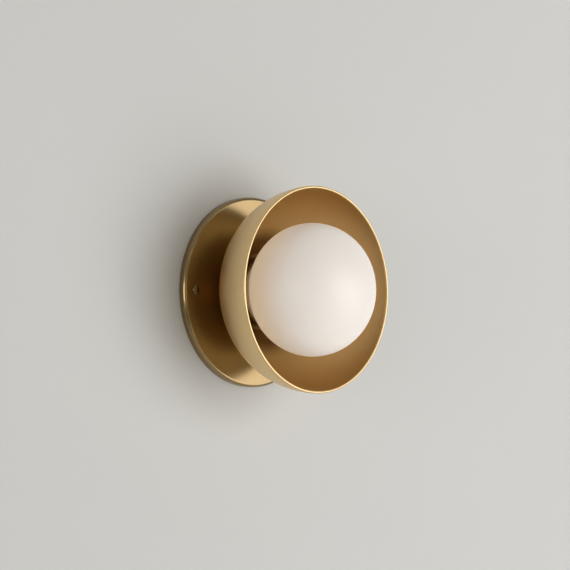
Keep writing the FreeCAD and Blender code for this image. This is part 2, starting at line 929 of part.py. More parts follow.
def lampholder_body():
    """Ceramic: an oval flange, a round barrel, a well for the bulb and a slot for each pin."""
    body = new_body("lampholder_body")
    flange = new_sketch(body, "XY_Plane", "holder_flange")
    draw_slot(flange, ZERO, bracket_half * 2 - s.holder_flange_width, s.holder_flange_width)
    raise_sketch(flange, holder_rear)
    pad(body, flange, s.holder_flange_thickness)
    barrel = new_sketch(body, "XY_Plane", "holder_barrel")
    draw_circle(barrel, holder_radius)
    raise_sketch(barrel, holder_rear)
    pad(body, barrel, well_floor - holder_rear + s.holder_well_depth)
    well = new_sketch(body, "XY_Plane", "holder_well")
    draw_box(well, well_half_length * 2, well_half_width * 2)
    raise_sketch(well, well_floor)
    pocket(body, well, s.holder_well_depth + s.overrun)
    slots = new_sketch(body, "XY_Plane", "holder_pin_slots")
    leads = new_sketch(body, "XY_Plane", "holder_lead_holes")
    screws = new_sketch(body, "XY_Plane", "holder_screw_holes")
    for side in (-1, 1):
        draw_box(slots, slot_length, contact_room, across=pin_offset * side)
        draw_circle(leads, s.holder_lead_hole_radius, across=pin_offset * side)
        hole = s.holder_screw_radius + s.screw_hole_clearance
        draw_circle(screws, hole, across=holder_screw_offset * side)
    raise_sketch(slots, slot_floor)
    pocket(body, slots, well_floor - slot_floor + s.overrun)
    raise_sketch(leads, holder_rear - s.overrun)
    pocket(body, leads, slot_floor - holder_rear + s.overrun * 2)
    raise_sketch(screws, holder_rear - s.overrun)
    pocket(body, screws, s.holder_flange_thickness + s.overrun * 2)
    keep(body, "lampholder_body")


def lampholder_contacts():
    """A folded clip in each slot, with a leaf on either side of the pin."""
    half = contact_room / 2
    leaf = half - s.contact_sheet
    floor = slot_floor + s.contact_sheet
    top = well_floor - s.contact_top_gap
    body = new_body("lampholder_contact")
    sketch = new_sketch(body, "YZ_Plane", "contact_side")
    draw_outline(
        sketch,
        (-half, slot_floor),
        (half, slot_floor),
        (half, top),
        (leaf, top),
        (leaf, floor),
        (-leaf, floor),
        (-leaf, top),
        (-half, top),
        (-half, slot_floor),
    )
    pad(body, sketch, s.contact_width, both_ways=True)
    move(body, across=pin_offset)
    pair_of("lampholder_contacts", body)


def lampholder_screws():
    """Two screws through the holder's flange into the bracket's tabs."""
    seat = holder_rear + s.holder_flange_thickness
    screw = domed_screw(
        "lampholder_screw",
        s.holder_screw_radius,
        s.holder_screw_head_radius,
        s.holder_screw_head_height,
        s.holder_screw_head_height / 2,
        seat=seat,
        tip=holder_rear - s.bracket_sheet,
    )
    slot_head(
        screw,
        s.holder_screw_head_radius,
        seat + s.holder_screw_head_height,
        s.holder_screw_head_height * s.screw_slot_share,
        s.holder_screw_slot_width,
    )
    move(screw, across=holder_screw_offset)
    pair_of("lampholder_screws", screw)


# Bulb

collar_rear = bulb_rear + s.bulb_block_height
envelope_rear = collar_rear + s.bulb_collar_height
bulb_front = bulb_rear + s.bulb_length
dome_height = bulb_front - s.bulb_radius


def bulb_base():
    """A moulded block that drops into the holder's well, under a round collar."""
    body = new_body("bulb_base")
    block = new_sketch(body, "XY_Plane", "bulb_block")
    draw_box(block, s.bulb_block_length, s.bulb_block_width)
    raise_sketch(block, bulb_rear)
    solid = pad(body, block, s.bulb_block_height)
    upright = [
        f"Edge{number}"
        for number, edge in enumerate(solid.Shape.Edges, 1)
        if abs(edge.tangentAt(edge.FirstParameter).z) > abs(edge.tangentAt(edge.FirstParameter).x)
        and abs(edge.tangentAt(edge.FirstParameter).z) > abs(edge.tangentAt(edge.FirstParameter).y)
    ]
    rounded = body.newObject("PartDesign::Fillet", "bulb_block_corners")
    rounded.Base = (solid, upright)
    bind(rounded, Radius=s.bulb_block_round)
    doc.recompute()
    collar = new_sketch(body, "XY_Plane", "bulb_collar")
    draw_circle(collar, s.bulb_radius)
    raise_sketch(collar, collar_rear)
    pad(body, collar, s.bulb_collar_height)
    keep(body, "bulb_base")


def bulb_envelope():
    """A thin frosted tube with a round end."""
    inner = s.bulb_radius - s.bulb_wall
    dome_middle = (ZERO, dome_height)
    body = new_body("bulb_envelope")
    turn(
        body,
        (inner, envelope_rear),
        (s.bulb_radius, envelope_rear),
        (s.bulb_radius, dome_height),
        (dome_middle, (ZERO, bulb_front), TURN_LEFT),
        (ZERO, bulb_front - s.bulb_wall),
        (dome_middle, (inner, dome_height), TURN_RIGHT),
        (inner, envelope_rear),
    )
    keep(body, "bulb_envelope")


def bulb_core():
    """The square column inside the envelope, up to its dome, that carries the light source."""
    half = s.bulb_core_width / 2
    flat = half - s.bulb_core_chamfer
    body = new_body("bulb_core")
    sketch = new_sketch(body, "XY_Plane", "bulb_core_section")
    draw_outline(
        sketch,
        (-flat, -half),
        (flat, -half),
        (half, -flat),
        (half, flat),
        (flat, half),
        (-flat, half),
        (-half, flat),
        (-half, -flat),
        (-flat, -half),
    )
    raise_sketch(sketch, envelope_rear)
    pad(body, sketch, dome_height - envelope_rear)
    keep(body, "bulb_core")


def bulb_pins():
    """Two loops of stiff wire, each a pair of legs joined by a half ring."""
    leg_length = s.pin_length - s.pin_loop_radius - s.pin_wire_radius
    loop_rear = bulb_rear - leg_length
    pieces = []
    for name, side in (("inner", -1), ("outer", 1)):
        across = pin_offset + s.pin_loop_radius * side
        pieces.append(cylinder(f"pin_leg_{name}", s.pin_wire_radius, leg_length, across, loop_rear))
    bend = doc.addObject("Part::Torus", "pin_bend")
    bind(bend, Radius1=s.pin_loop_radius, Radius2=s.pin_wire_radius)
    bend.Angle3 = 180
    bend.Placement.Rotation = FreeCAD.Rotation(FreeCAD.Vector(1, 0, 0), -90)
    move(bend, across=pin_offset, out=loop_rear)
    pieces.append(bend)
    loop = joined("bulb_pin", pieces)
    pair_of("bulb_pins", loop)


mounting_strap()
plate_screws()
ground_screw()
back_plate()
threaded_nipple()
hex_nut("rear_lock_nut", rear_nut_rear, free_face=rear_nut_rear, inward=1)
rear_lock_washer()
wire_bushing()
neck_spacer()
shade()
globe_cup()
globe_gasket()
opal_globe()
hex_nut("top_nut", top_nut_rear, free_face=top_nut_rear + s.nut_thickness, inward=-1)
lampholder_bracket()
lampholder_body()
lampholder_contacts()
lampholder_screws()
bulb_base()
bulb_envelope()
bulb_core()
bulb_pins()
doc.recompute()

# Every object has to be sound before any file is written

for thing in doc.Objects:
    if {"Invalid", "Error"} & set(thing.State):
        raise RuntimeError(f"{thing.Name} did not compute: {thing.State}")
for node in nodes:
    if node.Shape.isNull() or not node.Shape.isValid():
        raise RuntimeError(f"{node.Label} has no valid shape")

os.makedirs("parts", exist_ok=True)
for node in nodes:
    node.Shape.exportStep(f"parts/{node.Label}.step")
    box = node.Shape.BoundBox
    print(
        f"{node.Label}: {len(node.Shape.Solids)} solids, volume {node.Shape.Volume:.1f},"
        f" x {box.XMin:.2f} {box.XMax:.2f}, y {box.YMin:.2f} {box.YMax:.2f}, z {box.ZMin:.2f} {box.ZMax:.2f}"
    )
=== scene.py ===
import math

import bmesh
import bpy
from mathutils import Matrix, Vector


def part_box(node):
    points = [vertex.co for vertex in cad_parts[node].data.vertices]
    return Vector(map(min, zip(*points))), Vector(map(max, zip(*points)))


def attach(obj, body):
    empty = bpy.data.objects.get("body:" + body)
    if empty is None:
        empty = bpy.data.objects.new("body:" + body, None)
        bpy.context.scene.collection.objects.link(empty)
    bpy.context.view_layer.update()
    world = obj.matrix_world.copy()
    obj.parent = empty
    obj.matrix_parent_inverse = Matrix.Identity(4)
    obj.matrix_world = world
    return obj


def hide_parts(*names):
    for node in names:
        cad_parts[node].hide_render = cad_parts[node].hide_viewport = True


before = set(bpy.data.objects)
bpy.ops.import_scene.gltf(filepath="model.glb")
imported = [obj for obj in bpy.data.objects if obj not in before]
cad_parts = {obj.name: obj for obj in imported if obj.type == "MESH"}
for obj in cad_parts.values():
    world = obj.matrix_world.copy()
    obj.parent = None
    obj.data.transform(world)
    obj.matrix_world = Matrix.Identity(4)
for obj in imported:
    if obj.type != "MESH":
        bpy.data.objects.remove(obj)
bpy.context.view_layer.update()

MM = 0.001


# Sizes that the frame's boxes don't give, in metres

PLATE_SHEET = 1.0 * MM
PLATE_EDGE_ROUND = 2.0 * MM
PLATE_HOLE_RADIUS = 1.8 * MM
BORE_RADIUS = 5.1 * MM
NECK_LAND = 0.5 * MM
NECK_COVE_DEPTH = 0.6 * MM
SHADE_WALL = 1.5 * MM
SHADE_LIP_ROUND = 0.6 * MM
SHADE_POLE_SINK = 4.5 * MM
SHADE_SEAT_BLEND = 6.0 * MM
SHADE_OVAL_SHARE = 1.64
CUP_SHEET = 1.2 * MM
CUP_CORNER_ROUND = 1.6 * MM
GLOBE_HALF_DEPTH = 36.8 * MM
GLOBE_WALL = 2.5 * MM
GLOBE_NECK_RADIUS = 20.518 * MM
GLOBE_SHOULDER_ROUND = 2.0 * MM
GLOBE_OVAL_SHARE = 1.5
SCREW_OFFSET = 51.0 * MM
SCREW_RADIUS = 1.5 * MM
SCREW_HEAD_RADIUS = 2.6 * MM
SCREW_HEAD_EDGE = 0.5 * MM
BULB_WALL = 1.0 * MM

TURNS = 256
SCREW_TURNS = 64
DRILL_TURNS = 48
LONG_ARC_STEPS = 48
ARC_STEPS = 24
BLEND_STEPS = 12
HEEL_STEPS = 8
EDGE_STEPS = 6
LIP_STEPS = 4
SHARP_EDGE = math.radians(32)
ON_AXIS = 1e-7


# Turned shapes


def reach_of(node):
    """How far a node starts and ends from the wall."""
    low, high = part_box(node)
    return -high.y, -low.y


def radius_of(node):
    low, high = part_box(node)
    return (high.x - low.x) / 2


def arc(centre, start, end, steps=ARC_STEPS):
    """Points on the short way round from start to end, without the start itself."""
    first = math.atan2(start[1] - centre[1], start[0] - centre[0])
    last = math.atan2(end[1] - centre[1], end[0] - centre[0])
    sweep = (last - first + math.pi) % (2 * math.pi) - math.pi
    radius = math.dist(centre, start)
    angles = [first + sweep * step / steps for step in range(1, steps + 1)]
    return [(centre[0] + radius * math.cos(a), centre[1] + radius * math.sin(a)) for a in angles]


def mesh_object(name, mesh):
    """Smooth shading, apart from sharp edges."""
    graph = bmesh.new()
    graph.from_mesh(mesh)
    bmesh.ops.recalc_face_normals(graph, faces=graph.faces)
    for face in graph.faces:
        face.smooth = True
    for edge in graph.edges:
        edge.smooth = len(edge.link_faces) == 2 and edge.calc_face_angle(math.pi) < SHARP_EDGE
    graph.to_mesh(mesh)
    graph.free()
    piece = bpy.data.objects.new(name, mesh)
    bpy.context.scene.collection.objects.link(piece)
    return piece


def circle(graph, radius, reach, turns=TURNS):
    """A circle of corners round the lamp's axis, or its one corner on the axis for each turn."""
    if radius < ON_AXIS:
        return [graph.verts.new((0, -reach, 0))] * turns
    angles = [2 * math.pi * turn / turns for turn in range(turns)]
    return [graph.verts.new((radius * math.sin(a), -reach, radius * math.cos(a))) for a in angles]


def turned(name, outline, turns=TURNS):
    """Turn a closed outline of radius and reach round the lamp's axis."""
    graph = bmesh.new()
    rings = [circle(graph, radius, reach, turns) for radius, reach in outline]
    for ring, following in zip(rings, rings[1:] + rings[:1]):
        for turn in range(turns):
            after = (turn + 1) % turns
            corners = [ring[turn], ring[after], following[after], following[turn]]
            corners = list(dict.fromkeys(corners))
            if len(corners) > 2:
                graph.faces.new(corners)
    mesh = bpy.data.meshes.new(name)
    graph.to_mesh(mesh)
    graph.free()
    return mesh_object(name, mesh)


class Oval:
    """A flattened ball's outline: a tight side arc and a wide end arc that meet smoothly."""

    def __init__(self, radius, half_depth, share):
        flattening = radius - half_depth
        self.inset = flattening * share
        self.side = radius - self.inset
        self.end = flattening * share ** 2 / (share * 2 - 2) + (half_depth + self.side) / 2
        self.beyond = self.end - half_depth
        self.lean = self.inset / (self.end - self.side)
        self.drop = self.beyond / (self.end - self.side)


def shade_outline():
    """The bowl: seat, blend, two arcs and lip outside, and the same again inside."""
    rear, front = reach_of("shade")
    rim = front - SHADE_LIP_ROUND
    curve = Oval(radius_of("shade"), rim - rear + SHADE_POLE_SINK, SHADE_OVAL_SHARE)
    end_middle = (0, rim + curve.beyond)
    side_middle = (curve.inset, rim)
    blend_height = end_middle[1] - rear - SHADE_SEAT_BLEND
    blend_reach = curve.end - SHADE_SEAT_BLEND
    blend_radius = math.sqrt(blend_reach ** 2 - blend_height ** 2)
    blend_middle = (blend_radius, rear + SHADE_SEAT_BLEND)

    def skin(depth):
        end = curve.end - depth
        side = curve.side - depth
        seat = (blend_radius, rear + depth)
        shoulder = (
            blend_radius * end / blend_reach,
            end_middle[1] - blend_height * end / blend_reach,
        )
        joint = (curve.inset + side * curve.lean, rim - side * curve.drop)
        return seat, shoulder, joint, (curve.inset + side, rim)

    seat, shoulder, joint, edge = skin(0)
    in_seat, in_shoulder, in_joint, in_edge = skin(SHADE_WALL)
    lip_outer = edge[0] - SHADE_LIP_ROUND
    lip_inner = in_edge[0] + SHADE_LIP_ROUND
    return [
        (BORE_RADIUS, rear),
        seat,
        *arc(blend_middle, seat, shoulder),
        *arc(end_middle, shoulder, joint, LONG_ARC_STEPS),
        *arc(side_middle, joint, edge, LONG_ARC_STEPS),
        *arc((lip_outer, rim), edge, (lip_outer, front), LIP_STEPS),
        (lip_inner, front),
        *arc((lip_inner, rim), (lip_inner, front), in_edge, LIP_STEPS),
        *arc(side_middle, in_edge, in_joint, LONG_ARC_STEPS),
        *arc(end_middle, in_joint, in_shoulder, LONG_ARC_STEPS),
        *arc(blend_middle, in_shoulder, in_seat),
        (BORE_RADIUS, rear + SHADE_WALL),
    ]


def globe_outline():
    """The glass: neck, shoulder and oval outside, and the same again inside."""
    rear, front = reach_of("opal_globe")
    curve = Oval(radius_of("opal_globe"), GLOBE_HALF_DEPTH, GLOBE_OVAL_SHARE)
    middle = front - GLOBE_HALF_DEPTH
    rear_middle = (0, middle + curve.beyond)
    front_middle = (0, middle - curve.beyond)
    side_middle = (curve.inset, middle)
    shoulder_reach = curve.end + GLOBE_SHOULDER_ROUND
    shoulder_across = GLOBE_NECK_RADIUS + GLOBE_SHOULDER_ROUND
    drop = math.sqrt(shoulder_reach ** 2 - shoulder_across ** 2)
    shoulder_middle = (shoulder_across, rear_middle[1] - drop)

    def skin(depth):
        end = curve.end - depth
        side = curve.side - depth
        neck = (GLOBE_NECK_RADIUS - depth, shoulder_middle[1])
        shoulder = (
            shoulder_middle[0] * end / shoulder_reach,
            rear_middle[1] - drop * end / shoulder_reach,
        )
        across = curve.inset + side * curve.lean
        rise = side * curve.drop
        pole = (0, front_middle[1] + end)
        return neck, shoulder, (across, middle - rise), (across, middle + rise), pole

    neck, shoulder, rear_joint, front_joint, pole = skin(0)
    in_neck, in_shoulder, in_rear_joint, in_front_joint, in_pole = skin(GLOBE_WALL)
    end_round = GLOBE_WALL / 2
    neck_middle = (GLOBE_NECK_RADIUS - end_round, rear + end_round)
    neck_end = (neck_middle[0], rear)
    neck_inside = (GLOBE_NECK_RADIUS - GLOBE_WALL, neck_middle[1])
    return [
        neck_end,
        *arc(neck_middle, neck_end, (GLOBE_NECK_RADIUS, neck_middle[1]), EDGE_STEPS),
        neck,
        *arc(shoulder_middle, neck, shoulder, BLEND_STEPS),
        *arc(rear_middle, shoulder, rear_joint, LONG_ARC_STEPS),
        *arc(side_middle, rear_joint, front_joint, LONG_ARC_STEPS),
        *arc(front_middle, front_joint, pole, LONG_ARC_STEPS),
        in_pole,
        *arc(front_middle, in_pole, in_front_joint, ARC_STEPS),
        *arc(side_middle, in_front_joint, in_rear_joint, ARC_STEPS),
        *arc(rear_middle, in_rear_joint, in_shoulder, ARC_STEPS),
        *arc(shoulder_middle, in_shoulder, in_neck, EDGE_STEPS),
        neck_inside,
        *arc(neck_middle, neck_inside, neck_end, EDGE_STEPS),
    ]


def plate_outline():
    """The pan: rear edge, wall, eased edge and face, then the inside."""
    _, face = reach_of("back_plate")
    radius = radius_of("back_plate")
    inner = radius - PLATE_SHEET
    floor = face - PLATE_SHEET
    round_middle = (radius - PLATE_EDGE_ROUND, face - PLATE_EDGE_ROUND)
    wall_edge = (radius, round_middle[1])
    inner_edge = (round_middle[0], floor)
    return [
        (inner, 0),
        (radius, 0),
        wall_edge,
        *arc(round_middle, wall_edge, (round_middle[0], face), BLEND_STEPS),
        (BORE_RADIUS, face),
        (BORE_RADIUS, floor),
        inner_edge,
        *arc(round_middle, inner_edge, (inner, round_middle[1]), EDGE_STEPS),
    ]


def neck_outline():
    """The ring between plate and bowl, with its shallow cove."""
    rear, front = reach_of("neck_spacer")
    radius = radius_of("neck_spacer")
    low = (radius, rear + NECK_LAND)
    high = (radius, front - NECK_LAND)
    half = (high[1] - low[1]) / 2
    cove = (half ** 2 + NECK_COVE_DEPTH ** 2) / (NECK_COVE_DEPTH * 2)
    middle = (radius - NECK_COVE_DEPTH + cove, (low[1] + high[1]) / 2)
    return [
        (BORE_RADIUS, rear),
        (radius, rear),
        low,
        *arc(middle, low, high, BLEND_STEPS),
        (radius, front),
        (BORE_RADIUS, front),
    ]


def cup_outline():
    """The cup under the globe, with a round heel and a rounded rim."""
    rear, rim = reach_of("globe_cup")
    outer = radius_of("globe_cup")
    inner = outer - CUP_SHEET
    corner = (outer - CUP_CORNER_ROUND, rear + CUP_CORNER_ROUND)
    rim_round = CUP_SHEET / 2
    rim_middle = (outer - rim_round, rim - rim_round)
    return [
        (BORE_RADIUS, rear),
        (corner[0], rear),
        *arc(corner, (corner[0], rear), (outer, corner[1]), HEEL_STEPS),
        (outer, rim_middle[1]),
        *arc(rim_middle, (outer, rim_middle[1]), (rim_middle[0], rim), EDGE_STEPS),
        *arc(rim_middle, (rim_middle[0], rim), (inner, rim_middle[1]), EDGE_STEPS),
        (inner, rear + CUP_SHEET),
        (BORE_RADIUS, rear + CUP_SHEET),
    ]


def envelope_outline():
    """The bulb's frosted tube with its round end."""
    rear, front = reach_of("bulb_envelope")
    radius = radius_of("bulb_envelope")
    inner = radius - BULB_WALL
    middle = (0, front - radius)
    return [
        (inner, rear),
        (radius, rear),
        *arc(middle, (radius, middle[1]), (0, front)),
        (0, front - BULB_WALL),
        *arc(middle, (0, front - BULB_WALL), (inner, middle[1])),
    ]


# Materials

CLOUD_SHARE = 0.65
# Painted shade on the bowl's inner floor round the cup, where the globe shades it
PAINTED_SHADE_FULL_RADIUS = 31.0 * MM
PAINTED_SHADE_END_RADIUS = 42.0 * MM
PAINTED_FLOOR_SHADE_COLOUR = (0.25, 0.145, 0.06)
GLASS_SCATTER_DEPTH = 2.5 * MM
# Painted light: a faint glow on the glass with no light in the bulb, fading out towards the neck
# as painted shade
PAINTED_GLOW_COLOUR = (1.0, 0.87, 0.73)
PAINTED_GLOW_STRENGTH = 0.25
PAINTED_GLOW_START_REACH = 20.0 * MM
PAINTED_GLOW_FULL_REACH = 40.0 * MM
GRAIN_STRETCH = (1.0, 6.0, 6.0)
PLASTIC_SCATTER_DEPTH = 1.5 * MM
CHIP_PITCH = 4.0 * MM
CHIP_HALF_SHARE = 0.32
CHIP_HALF_WIDTH = 1.2 * MM
NOISE_LOW = 0.3
NOISE_HIGH = 0.7


# Sockets of a colour mix, whose names the other kinds of mix share

MIX_SHARE = 0
MIX_FIRST = 6
MIX_SECOND = 7
MIX_RESULT = 2


def new_material(name):
    material = bpy.data.materials.new(name)
    material.use_nodes = True
    nodes = material.node_tree.nodes
    return material, material.node_tree, nodes["Principled BSDF"]


def node(tree, kind, **settings):
    made = tree.nodes.new(kind)
    for key, value in settings.items():
        setattr(made, key, value)
    return made


def math_node(tree, operation, first, second=None):
    made = node(tree, "ShaderNodeMath", operation=operation)
    for socket, value in zip(made.inputs, (first, second)):
        if value is None:
            continue
        if isinstance(value, (int, float)):
            socket.default_value = value
        else:
            tree.links.new(value, socket)
    return made.outputs[0]


def noise(tree, vector, scale, detail=2.0, roughness=0.5):
    made = node(tree, "ShaderNodeTexNoise")
    made.inputs["Scale"].default_value = scale
    made.inputs["Detail"].default_value = detail
    made.inputs["Roughness"].default_value = roughness
    tree.links.new(vector, made.inputs["Vector"])
    return made.outputs["Fac"]


def spread(tree, value, low, high):
    """Map a noise that stays near the middle to a range."""
    made = node(tree, "ShaderNodeMapRange")
    made.inputs["From Min"].default_value = NOISE_LOW
    made.inputs["From Max"].default_value = NOISE_HIGH
    made.inputs["To Min"].default_value = low
    made.inputs["To Max"].default_value = high
    tree.links.new(value, made.inputs["Value"])
    return made.outputs["Result"]


def tint(tree, shader, value, first, second):
    """A colour that wanders between two tones."""
    made = node(tree, "ShaderNodeMix", data_type="RGBA")
    tree.links.new(value, made.inputs[MIX_SHARE])
    made.inputs[MIX_FIRST].default_value = (*first, 1)
    made.inputs[MIX_SECOND].default_value = (*second, 1)
    tree.links.new(made.outputs[MIX_RESULT], shader.inputs["Base Color"])


def roughen(tree, shader, value, smooth, rough):
    """A roughness that wanders between two limits."""
    tree.links.new(spread(tree, value, smooth, rough), shader.inputs["Roughness"])


def object_place(tree):
    return node(tree, "ShaderNodeTexCoord").outputs["Object"]


def place_parts(tree):
    """How far a point lies across, along the lamp's axis and up."""
    apart = node(tree, "ShaderNodeSeparateXYZ")
    tree.links.new(object_place(tree), apart.inputs[0])
    return apart.outputs


def axis_radius(tree, across, up):
    """How far a point lies from the lamp's axis."""
    squares = [math_node(tree, "MULTIPLY", side, side) for side in (across, up)]
    return math_node(tree, "SQRT", math_node(tree, "ADD", *squares))


def ring_place(tree, fine, slow):
    """Coordinates that are stretched round the lamp's axis, as a lathe leaves its marks."""
    across, along, up = place_parts(tree)
    radius = axis_radius(tree, across, up)
    angle = math_node(tree, "ARCTAN2", across, up)
    joined = node(tree, "ShaderNodeCombineXYZ")
    tree.links.new(math_node(tree, "MULTIPLY", radius, fine), joined.inputs[0])
    tree.links.new(math_node(tree, "MULTIPLY", along, fine), joined.inputs[1])
    tree.links.new(math_node(tree, "MULTIPLY", angle, slow), joined.inputs[2])
    return joined.outputs[0]


def bump(tree, shader, height, strength, distance):
    made = node(tree, "ShaderNodeBump")
    made.inputs["Strength"].default_value = strength
    made.inputs["Distance"].default_value = distance
    tree.links.new(height, made.inputs["Height"])
    tree.links.new(made.outputs["Normal"], shader.inputs["Normal"])


def spun_brass(name, pale, deep, smooth, rough):
    """Satin brass with fine rings from the lathe and a slow change of tone."""
    material, tree, shader = new_material(name)
    shader.inputs["Metallic"].default_value = 1.0
    place = ring_place(tree, fine=3200.0, slow=2.0)
    rings = noise(tree, place, scale=1.0, detail=3.0, roughness=0.55)
    clouds = noise(tree, object_place(tree), scale=26.0, detail=3.0)
    mix = node(tree, "ShaderNodeMix")
    mix.inputs["Factor"].default_value = CLOUD_SHARE
    tree.links.new(rings, mix.inputs["A"])
    tree.links.new(clouds, mix.inputs["B"])
    tone = mix.outputs["Result"]
    tint(tree, shader, spread(tree, tone, 0, 1), pale, deep)
    roughen(tree, shader, tone, smooth, rough)
    bump(tree, shader, rings, strength=0.05, distance=0.01 * MM)
    return material


def paint_bowl_floor_shade(material):
    """Painted shade: darker brass inside the bowl round the cup, where the globe shades the
    floor.

    The outside counts as a metre further from the axis, so it stays clear.
    """
    tree = material.node_tree
    colour = tree.nodes["Principled BSDF"].inputs["Base Color"]
    across, _, up = place_parts(tree)
    facing = node(tree, "ShaderNodeSeparateXYZ")
    tree.links.new(node(tree, "ShaderNodeTexCoord").outputs["Normal"], facing.inputs[0])
    outside = math_node(tree, "GREATER_THAN", facing.outputs[1], 0.0)
    inside_radius = math_node(tree, "ADD", axis_radius(tree, across, up), outside)
    fade = node(tree, "ShaderNodeMapRange", interpolation_type="SMOOTHSTEP")
    fade.inputs["From Min"].default_value = PAINTED_SHADE_FULL_RADIUS
    fade.inputs["From Max"].default_value = PAINTED_SHADE_END_RADIUS
    tree.links.new(inside_radius, fade.inputs["Value"])
    mixed = node(tree, "ShaderNodeMix", data_type="RGBA")
    tree.links.new(fade.outputs["Result"], mixed.inputs[MIX_SHARE])
    mixed.inputs[MIX_FIRST].default_value = (*PAINTED_FLOOR_SHADE_COLOUR, 1)
    tree.links.new(colour.links[0].from_socket, mixed.inputs[MIX_SECOND])
    tree.links.new(mixed.outputs[MIX_RESULT], colour)


def opal_glass():
    """White glass with a soft satin skin, faint flow clouds and a faint painted glow that fades
    out towards the neck as painted shade.
    """
    material, tree, shader = new_material("opal_glass")
    clouds = noise(tree, object_place(tree), scale=40.0, detail=3.0)
    tint(tree, shader, spread(tree, clouds, 0, 1), (0.79, 0.775, 0.765), (0.78, 0.765, 0.755))
    fine = noise(tree, object_place(tree), scale=1400.0, detail=2.0)
    roughen(tree, shader, fine, smooth=0.38, rough=0.46)
    shader.inputs["IOR"].default_value = 1.5
    shader.inputs["Subsurface Weight"].default_value = 1.0
    shader.inputs["Subsurface Radius"].default_value = (1.0, 0.9, 0.8)
    shader.inputs["Subsurface Scale"].default_value = GLASS_SCATTER_DEPTH
    shader.inputs["Emission Color"].default_value = (*PAINTED_GLOW_COLOUR, 1)
    _, along, _ = place_parts(tree)
    fade = node(tree, "ShaderNodeMapRange", interpolation_type="SMOOTHSTEP")
    fade.inputs["From Min"].default_value = -PAINTED_GLOW_START_REACH
    fade.inputs["From Max"].default_value = -PAINTED_GLOW_FULL_REACH
    fade.inputs["To Max"].default_value = PAINTED_GLOW_STRENGTH
    tree.links.new(along, fade.inputs["Value"])
    tree.links.new(fade.outputs["Result"], shader.inputs["Emission Strength"])
    bump(tree, shader, fine, strength=0.05, distance=0.02 * MM)
    return material


def plated_steel(name, bright, dull, smooth, rough):
    """Zinc or nickel plate with soft spangle and a drawn grain."""
    material, tree, shader = new_material(name)
    shader.inputs["Metallic"].default_value = 1.0
    stretched = node(tree, "ShaderNodeMapping")
    stretched.inputs["Scale"].default_value = GRAIN_STRETCH
    tree.links.new(object_place(tree), stretched.inputs["Vector"])
    grain = noise(tree, stretched.outputs[0], scale=380.0, detail=4.0, roughness=0.6)
    clouds = noise(tree, object_place(tree), scale=90.0, detail=3.0)
    tint(tree, shader, spread(tree, clouds, 0, 1), bright, dull)
    roughen(tree, shader, grain, smooth, rough)
    bump(tree, shader, grain, strength=0.1, distance=0.02 * MM)
    return material


def moulded(name, first, second, smooth, rough, grain_scale, glow=0.0):
    """Moulded plastic, rubber or ceramic with a fine grain and a slight change of tone."""
    material, tree, shader = new_material(name)
    clouds = noise(tree, object_place(tree), scale=120.0, detail=3.0)
    fine = noise(tree, object_place(tree), scale=grain_scale, detail=3.0)
    tint(tree, shader, spread(tree, clouds, 0, 1), first, second)
    roughen(tree, shader, fine, smooth, rough)
    shader.inputs["Subsurface Weight"].default_value = glow
    shader.inputs["Subsurface Scale"].default_value = PLASTIC_SCATTER_DEPTH
    bump(tree, shader, fine, strength=0.15, distance=0.03 * MM)
    return material


def light_core():
    """White board with a column of small yellow light strips on each face."""
    material, tree, shader = new_material("light_core")
    across, along, up = place_parts(tree)
    steps = math_node(tree, "FRACT", math_node(tree, "DIVIDE", along, CHIP_PITCH))
    off_middle = math_node(tree, "ABSOLUTE", math_node(tree, "SUBTRACT", steps, 0.5))
    on_chip = math_node(tree, "LESS_THAN", off_middle, CHIP_HALF_SHARE)
    near_middle = [
        math_node(tree, "LESS_THAN", math_node(tree, "ABSOLUTE", side), CHIP_HALF_WIDTH)
        for side in (across, up)
    ]
    on_strip = math_node(tree, "MAXIMUM", *near_middle)
    chip = math_node(tree, "MULTIPLY", on_chip, on_strip)
    tint(tree, shader, chip, (0.86, 0.86, 0.84), (0.88, 0.66, 0.12))
    fine = noise(tree, object_place(tree), scale=600.0)
    roughen(tree, shader, fine, smooth=0.35, rough=0.5)
    return material


# Painted shade: the plate and neck get a darker copy of the bowl's brass, for the shade between
# plate and bowl
PAINTED_SHADE_BRASS = spun_brass("satin_brass", (0.38, 0.275, 0.14), (0.365, 0.26, 0.13), 0.17, 0.2)
SPUN_BRASS = spun_brass("spun_brass", (0.77, 0.57, 0.295), (0.75, 0.55, 0.28), 0.34, 0.4)
# Painted shade on the inside of the bowl round the cup
paint_bowl_floor_shade(SPUN_BRASS)
# Painted shade: the cup under the globe gets near-black brass for the shade deep in the bowl
PAINTED_SHADE_CUP_BRASS = spun_brass("painted_shade_cup_brass", (0.16, 0.10, 0.05), (0.12, 0.075, 0.035), 0.38, 0.46)
# Painted shade: the screw heads get dark brass for the shade under the bowl
PAINTED_SHADE_SCREW_BRASS = spun_brass("painted_shade_screw_brass", (0.22, 0.145, 0.06), (0.18, 0.115, 0.045), 0.28, 0.36)
OPAL = opal_glass()
ZINC = plated_steel("zinc_plate", (0.64, 0.65, 0.66), (0.56, 0.58, 0.6), 0.28, 0.42)
NICKEL = plated_steel("nickel_plate", (0.72, 0.70, 0.66), (0.66, 0.64, 0.6), 0.2, 0.32)
GREEN_ZINC = plated_steel("green_plate", (0.10, 0.42, 0.20), (0.08, 0.34, 0.16), 0.3, 0.42)
CERAMIC = moulded("steatite", (0.86, 0.84, 0.78), (0.82, 0.79, 0.72), 0.5, 0.65, 900.0)
NYLON = moulded("nylon", (0.82, 0.81, 0.77), (0.78, 0.77, 0.72), 0.35, 0.45, 700.0, 0.2)
SILICONE = moulded("silicone", (0.80, 0.78, 0.74), (0.76, 0.74, 0.70), 0.4, 0.5, 800.0, 0.3)
BULB_BASE = moulded("bulb_plastic", (0.88, 0.88, 0.86), (0.85, 0.85, 0.83), 0.25, 0.35, 700.0)
